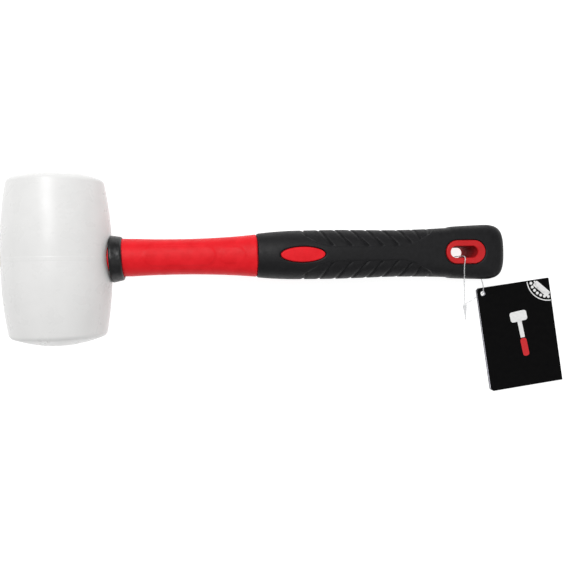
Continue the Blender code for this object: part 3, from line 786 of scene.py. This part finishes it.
def grip_relief(rings):
    """How far the grip's surface stands out from the plain section."""
    sides = rings.shape[1]
    x, y, z = rings[..., 0], rings[..., 1], rings[..., 2]
    step = np.linalg.norm(np.roll(rings, -1, 1) - rings, axis=-1)
    quarter = (step.sum(axis=1) / 4)[:, None]
    place = np.arange(sides) / sides * 4
    c = np.abs(np.mod(place, 2.0) - 1.0)[None, :] * quarter
    top = slice(sides // 4, sides // 2)
    end_c = []
    for end_s, end_y in GROOVE_ENDS:
        row = int(np.argmin(np.abs(x[:, 0] - end_s)))
        end_c.append(float(np.interp(end_y, -y[row, top], c[row, top])))
    edge = np.interp(x, *np.array(SPINE_EDGE, float).T)
    raised = 1 - smoothstep(-0.5, 0.5, np.abs(y) - edge)
    height = np.abs(z) / np.abs(z).max(axis=1, keepdims=True)
    relief = -PANEL_DEPTH * (1 - raised) * smoothstep(0.25, 0.8, height)
    relief -= groove_depth(x, c, quarter, end_c) * (1 - raised)
    lip = WINDOW_LIP
    for distance in (ellipse_distance(x, y, BADGE), stadium_distance(x, y, RIM)):
        inward = np.clip(lip - (distance - WINDOW_LIP_START), 0.0, lip)
        fall = lip - np.sqrt(lip ** 2 - inward ** 2)
        relief -= fall * WINDOW_LIP_SHARE * (height > 0.5)
    front = np.clip((GRIP_FRONT - x) / GRIP_FRONT_LENGTH, 0.0, 1.0)
    return relief - GRIP_FRONT_DEPTH * (1 - np.sqrt(1 - front ** 2))


def make_grip(material):
    """Black overmould: grooved side panels, a raised spine, windows for the red bosses."""
    sides = 272
    places = np.concatenate([even_places(*zone)[:-1] for zone in GRIP_ZONES])
    places = np.append(places, GRIP_ZONES[-1][1])
    outer = section_rings(stations_at(GRIP_POINTS, places), sides)
    outer = outer + ring_normals(outer) * grip_relief(outer)[..., None]
    inner_stations = stations_at(SLEEVE, even_places(129.4, 296.0, 6.0))
    inner_stations[:, 1:3] += GAP
    inner_stations[-1, 0] += GAP
    inner = section_rings(inner_stations[::-1], sides)
    grip = grid_object("rubber_grip", np.concatenate([inner, outer]), POSE)
    for outline in (ellipse(BADGE, WINDOW_MARGIN), stadium(RIM, WINDOW_MARGIN)):
        rings = prism_rings([outline, outline], [-20.0, 20.0])
        cut(grip, grid_object("window_cutter", rings, POSE))
    roughen(grip, size=14.0, depth=0.05, seed=5)
    return finish_piece(grip, material, angle=0.6)


# Loop and lock -------------------------------------------------------------------------------

def from_floor(point):
    """Millimetres from the head's middle along X and Y, and from the floor, to metres."""
    return Vector((HEAD_MIDDLE.x + point[0] * MM, point[1] * MM, point[2] * MM))


def make_loop(material):
    """Round filament along the loop's smooth route."""
    curve = bpy.data.curves.new("nylon_loop", "CURVE")
    curve.dimensions = "3D"
    curve.bevel_depth = LOOP_DIAMETER / 2 * MM
    curve.bevel_resolution = 5
    curve.use_fill_caps = True
    per_span = 6
    count = per_span * (len(LOOP_ROUTE) - 1) + 1
    spline = curve.splines.new("POLY")
    spline.points.add(count - 1)
    for i, point in enumerate(spline.points):
        place = from_floor(catmull_rom(LOOP_ROUTE, i / per_span))
        point.co = (*place, 1.0)
    curve.materials.append(material)
    return new_object("nylon_loop", curve)


def make_lock(material):
    """Arrow-shaped lock: a flat clamp with a rib, tapering to a tail."""
    start, tip = from_floor(LOCK_START), from_floor(LOCK_TIP)
    stations = [(0.0, 0.9, 0.6, 2.0), (0.15, 1.35, 0.95, 2.4), (0.5, 1.5, 1.1, 2.6),
                (1.0, 1.45, 1.1, 2.6), (1.3, 1.25, 1.0, 2.4), (1.7, 1.3, 1.05, 2.4),
                (2.2, 1.35, 1.1, 2.4), (4.0, 1.1, 0.95, 2.2), (6.5, 0.75, 0.7, 2.0),
                (9.0, 0.48, 0.46, 2.0), (10.8, 0.3, 0.28, 2.0), (11.2, 0.08, 0.08, 2.0)]
    rings = section_rings(np.array(stations), 48)
    turn = (tip - start).to_track_quat("X", "Z").to_matrix().to_4x4()
    lock = grid_object("arrow_lock", rings, Matrix.Translation(start) @ turn)
    return finish_piece(lock, material, angle=0.9)


# Tag -----------------------------------------------------------------------------------------

RUN_X = TAG_SIZE[0] - TAG_INSET
RUN_Y = TAG_SIZE[1] - TAG_INSET
SLOPE = TAG_DROP / (RUN_X ** 2 + RUN_Y ** 2)
TAG_POSE = (Matrix.Translation(SWIVEL) @ Matrix.Rotation(TAG_TURN, 4, "Z")
            @ Matrix.Rotation(RUN_X * SLOPE, 4, "Y") @ Matrix.Rotation(RUN_Y * SLOPE, 4, "X"))
LEFT, RIGHT = -TAG_INSET, RUN_X
BOTTOM, TOP = -RUN_Y, TAG_INSET


def lift(x, y):
    """How far the front of the booklet has opened, most at the loose lower left corner."""
    across = np.clip((RIGHT - x) / TAG_SIZE[0], 0, 1)
    down = np.clip((TOP - y) / TAG_SIZE[1], 0, 1)
    return TAG_OPENING * across ** 1.3 * down ** 1.6


def rounded_card(left, right, bottom, top, corner, columns, rows):
    """Grid of points in a rectangle whose left corners are rounded."""
    u = np.linspace(0, 1, columns)[None, :]
    v = np.linspace(0, 1, rows)[:, None]
    y = bottom + (top - bottom) * v
    near = np.minimum(y - bottom, top - y)
    inset = corner - np.sqrt(np.maximum(corner ** 2 - np.maximum(corner - near, 0) ** 2, 0))
    x = (left + inset) + (right - left - inset) * u
    return x, np.broadcast_to(y, x.shape).copy()


def leaf(name, z_low, thickness, share, left, right, bottom, top, matrix):
    """Thin closed leaf; share is how much of the booklet's opening it follows."""
    columns, rows = 34, 60
    x, y = rounded_card(left, right, bottom, top, TAG_CORNER, columns, rows)
    base = z_low + share * lift(x, y)
    upper = np.stack([x, y, base + thickness], -1).reshape(-1, 3)
    lower = np.stack([x, y, base], -1).reshape(-1, 3)
    index = np.arange(columns * rows).reshape(rows, columns)
    quads = np.stack([index[:-1, :-1], index[:-1, 1:], index[1:, 1:], index[1:, :-1]], -1)
    quads = quads.reshape(-1, 4)
    under = (quads + columns * rows)[:, ::-1]
    rim = np.concatenate([index[0], index[1:, -1], index[-1, -2::-1], index[-2:0:-1, 0]])
    after = np.roll(rim, -1)
    sides = np.stack([rim, rim + columns * rows, after + columns * rows, after], -1)
    data = bpy.data.meshes.new(name)
    points = np.concatenate([upper, lower]) * MM
    data.from_pydata(points.tolist(), [], np.concatenate([quads, under, sides]).tolist())
    item = new_object(name, data, matrix)
    fix_normals(item)
    return item


def join(items, name):
    """One object from several."""
    mesh = bmesh.new()
    for item in items:
        mesh.from_mesh(item.data)
    data = bpy.data.meshes.new(name)
    mesh.to_mesh(data)
    mesh.free()
    joined = new_object(name, data)
    for item in items:
        bpy.data.objects.remove(item)
    return joined


def tag_hole_cutter():
    rings = turned_rings([(TAG_HOLE_RADIUS, -6), (TAG_HOLE_RADIUS, 6)], 48, "Z")
    return grid_object("hole_cutter", rings, TAG_POSE)


def make_cover(material):
    """Card folded round the leaves, with its spine on the right."""
    half = TAG_THICKNESS / 2
    front = leaf("front", half - TAG_CARD, TAG_CARD, 1.0, LEFT, RIGHT, BOTTOM, TOP, TAG_POSE)
    back = leaf("back", -half, TAG_CARD, 0.0, LEFT, RIGHT, BOTTOM, TOP, TAG_POSE)
    inset, bulge = TAG_SPINE
    angle = np.linspace(-pi / 2, pi / 2, 13)
    outer = np.column_stack([RIGHT - inset + bulge * np.cos(angle), half * np.sin(angle)])
    inner = np.column_stack([RIGHT - inset - TAG_CARD + bulge * np.cos(angle[::-1]),
                             (half - TAG_CARD) * np.sin(angle[::-1])])
    outline = np.concatenate([outer, inner])
    rings = np.stack([np.column_stack([outline[:, 0], np.full(len(outline), y), outline[:, 1]])
                      for y in np.linspace(BOTTOM, TOP, 40)])
    spine = grid_object("spine", rings, TAG_POSE)
    cover = join([front, back, spine], "booklet_cover")
    cut(cover, tag_hole_cutter())
    return finish_piece(cover, material, angle=0.6)


def make_pages(material):
    """Eight leaves, each following a little more of the booklet's opening."""
    half = TAG_THICKNESS / 2
    low, high = -half + TAG_CARD + 0.03, half - TAG_CARD - 0.03
    pitch = (high - low) / TAG_LEAVES
    leaves = []
    for k in range(TAG_LEAVES):
        trim = 0.25 + 0.12 * ((k * 5) % 3)
        leaves.append(leaf(f"leaf_{k}", low + k * pitch, pitch * 0.8, (k + 0.5) / TAG_LEAVES,
                           LEFT + trim, RIGHT - 0.9, BOTTOM + trim, TOP - trim, TAG_POSE))
    pages = join(leaves, "booklet_pages")
    cut(pages, tag_hole_cutter())
    return finish_piece(pages, material, angle=0.6)


def print_patch(name, outline, material, longest_edge=3.0):
    """Printed shape on the front of the card: a thin filled outline that follows it."""
    mesh = bmesh.new()
    loop = [mesh.verts.new((x, y, 0.0)) for x, y in outline]
    mesh.faces.new(loop)
    bmesh.ops.triangulate(mesh, faces=mesh.faces)
    long_edges = [e for e in mesh.edges if e.calc_length() > longest_edge]
    bmesh.ops.subdivide_edges(mesh, edges=long_edges, cuts=3, use_grid_fill=True)
    made = bmesh.ops.extrude_face_region(mesh, geom=mesh.faces[:])
    raised = {v for v in made["geom"] if isinstance(v, bmesh.types.BMVert)}
    for vertex in mesh.verts:
        x, y = vertex.co.x, vertex.co.y
        z = TAG_THICKNESS / 2 + lift(x, y) + INK_GAP
        vertex.co.z = z + (INK_THICKNESS if vertex in raised else 0.0)
        vertex.co *= MM
    bmesh.ops.recalc_face_normals(mesh, faces=mesh.faces)
    data = bpy.data.meshes.new(name)
    mesh.to_mesh(data)
    mesh.free()
    data.materials.append(material)
    return new_object(name, data, TAG_POSE)


def turned_outline(points, middle, turn):
    """Points turned about the origin and then moved to the middle."""
    c, s = cos(turn), sin(turn)
    return [(middle[0] + c * x - s * y, middle[1] + s * x + c * y) for x, y in points]


def rounded_bar(length, width, corner, steps=6):
    """Outline of a bar with rounded corners, around the origin."""
    points = []
    for sx, sy, start in ((1, 1, 0), (-1, 1, pi / 2), (-1, -1, pi), (1, -1, 3 * pi / 2)):
        for i in range(steps + 1):
            a = start + pi / 2 * i / steps
            points.append((sx * (length / 2 - corner) + corner * cos(a),
                           sy * (width / 2 - corner) + corner * sin(a)))
    return points


def shifted(points, dx):
    return [(x + dx, y) for x, y in points]


def arc_band(middle, inner, outer, start, end, steps=20):
    """Outline of a band between two radii, from the start to the end angle."""
    angles = [start + (end - start) * i / steps for i in range(steps + 1)]
    far = [(middle[0] + outer * cos(a), middle[1] + outer * sin(a)) for a in angles]
    near = [(middle[0] + inner * cos(a), middle[1] + inner * sin(a)) for a in reversed(angles)]
    return far + near


def make_print(white, red):
    """Mallet pictogram along the card; ring of dots, under a band, in its corner."""
    shapes = [(rounded_bar(13.0, 3.2, 0.5), 3.5, white),
              (rounded_bar(13.0, 4.6, 1.8), -10.0, red),
              (rounded_bar(7.4, 12.4, 1.8), 12.6, white)]
    patches = []
    for k, (outline, shift, material) in enumerate(shapes):
        outline = turned_outline(shifted(outline, shift), PICTOGRAM_MIDDLE, PICTOGRAM_TURN)
        patches.append((f"print_mallet_{k}", outline, material))
    corner = (RIGHT - RING_INSET, TOP - RING_INSET)
    for name, (inner, outer) in RING_BANDS.items():
        patches.append((f"print_ring_{name}",
                        arc_band(corner, inner, outer, pi, 1.5 * pi), white))
    for k in range(RING_DOTS):
        a = pi + pi / 2 * (k + 0.5) / RING_DOTS
        spot = (corner[0] + RING_DOT_PLACE * cos(a), corner[1] + RING_DOT_PLACE * sin(a))
        dot = [(spot[0] + RING_DOT_RADIUS * cos(b), spot[1] + RING_DOT_RADIUS * sin(b))
               for b in (2 * pi * i / 20 for i in range(20))]
        patches.append((f"print_dot_{k}", dot, white))
    band_middle = (corner[0] + BAND_PLACE[0], corner[1] + BAND_PLACE[1])
    band = turned_outline(rounded_bar(13.5, 4.4, 1.0), band_middle, BAND_TURN)
    patches.append(("print_band", band, white))
    return [print_patch(*patch) for patch in patches]


# Studio --------------------------------------------------------------------------------------

def area_light(name, place, target, size, power):
    data = bpy.data.lights.new(name, "AREA")
    data.shape = "RECTANGLE"
    data.size, data.size_y = size
    data.energy = power
    light = new_object(name, data)
    light.location = place
    light.rotation_euler = (Vector(target) - Vector(place)).to_track_quat("-Z", "Y").to_euler()


def make_camera():
    data = bpy.data.cameras.new("camera")
    data.lens = FOCAL_LENGTH
    data.sensor_width = SENSOR_WIDTH
    camera = new_object("camera", data)
    x, y, z = CAMERA_PLACE
    camera.location = (HEAD_MIDDLE.x + x, y, z)
    camera.rotation_euler = [radians(turn) for turn in CAMERA_TURN]
    bpy.context.scene.camera = camera


def make_floor():
    bpy.ops.mesh.primitive_plane_add(size=FLOOR_SIZE, location=(0, 0, -FLOOR_DROP))
    floor = bpy.context.object
    floor.name = "floor"
    material = bpy.data.materials.new("floor")
    material.use_nodes = True
    shader = material.node_tree.nodes["Principled BSDF"]
    shader.inputs["Base Color"].default_value = (FLOOR_GREY, FLOOR_GREY, FLOOR_GREY, 1)
    shader.inputs["Roughness"].default_value = 0.9
    shader.inputs["Specular IOR Level"].default_value = 0.0
    shader.inputs["Emission Color"].default_value = (1, 1, 1, 1)
    shader.inputs["Emission Strength"].default_value = FLOOR_GLOW
    floor.data.materials.append(material)


def make_studio():
    bpy.context.scene.view_settings.view_transform = "Standard"
    world = bpy.data.worlds.new("studio")
    bpy.context.scene.world = world
    world.use_nodes = True
    background = world.node_tree.nodes["Background"]
    background.inputs["Color"].default_value = (1, 1, 1, 1)
    background.inputs["Strength"].default_value = WORLD_STRENGTH
    for light in LIGHTS:
        area_light(*light)


# The mallet ----------------------------------------------------------------------------------

def main():
    make_camera()
    make_floor()
    make_studio()
    looks = make_materials()
    jacket = make_jacket(looks["jacket"], looks["rim"], looks["slot"])
    head = make_head(looks["head"])
    collar = make_collar(looks["collar"])
    bond = make_eye_bond(looks["epoxy"])
    core = make_core(looks["fibreglass"])
    grip = make_grip(looks["grip"])
    lock = make_lock(looks["lock"])
    loop = make_loop(looks["nylon"])
    cover = make_cover(looks["card"])
    pages = make_pages(looks["paper"])
    pieces = [(head, "mallet", "rubber_head", "head_rubber"),
              (collar, "mallet", "collar", "collar_rubber"),
              (bond, "mallet", "eye_bond", "epoxy"),
              (core, "mallet", "handle_core", "fibreglass"),
              (jacket, "mallet", "handle_jacket", "jacket_plastic"),
              (grip, "mallet", "grip", "grip_rubber"),
              (lock, "mallet", "loop_lock", "nylon"),
              (loop, "mallet", "tag_loop", "nylon"),
              (cover, "tag", "tag_cover", "tag_card"),
              (pages, "tag", "tag_pages", "tag_paper")]
    for piece, body, node, slot in pieces:
        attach(piece, body)
        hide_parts(node)
    for patch in make_print(looks["ink_white"], looks["ink_red"]):
        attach(patch, "tag")


main()
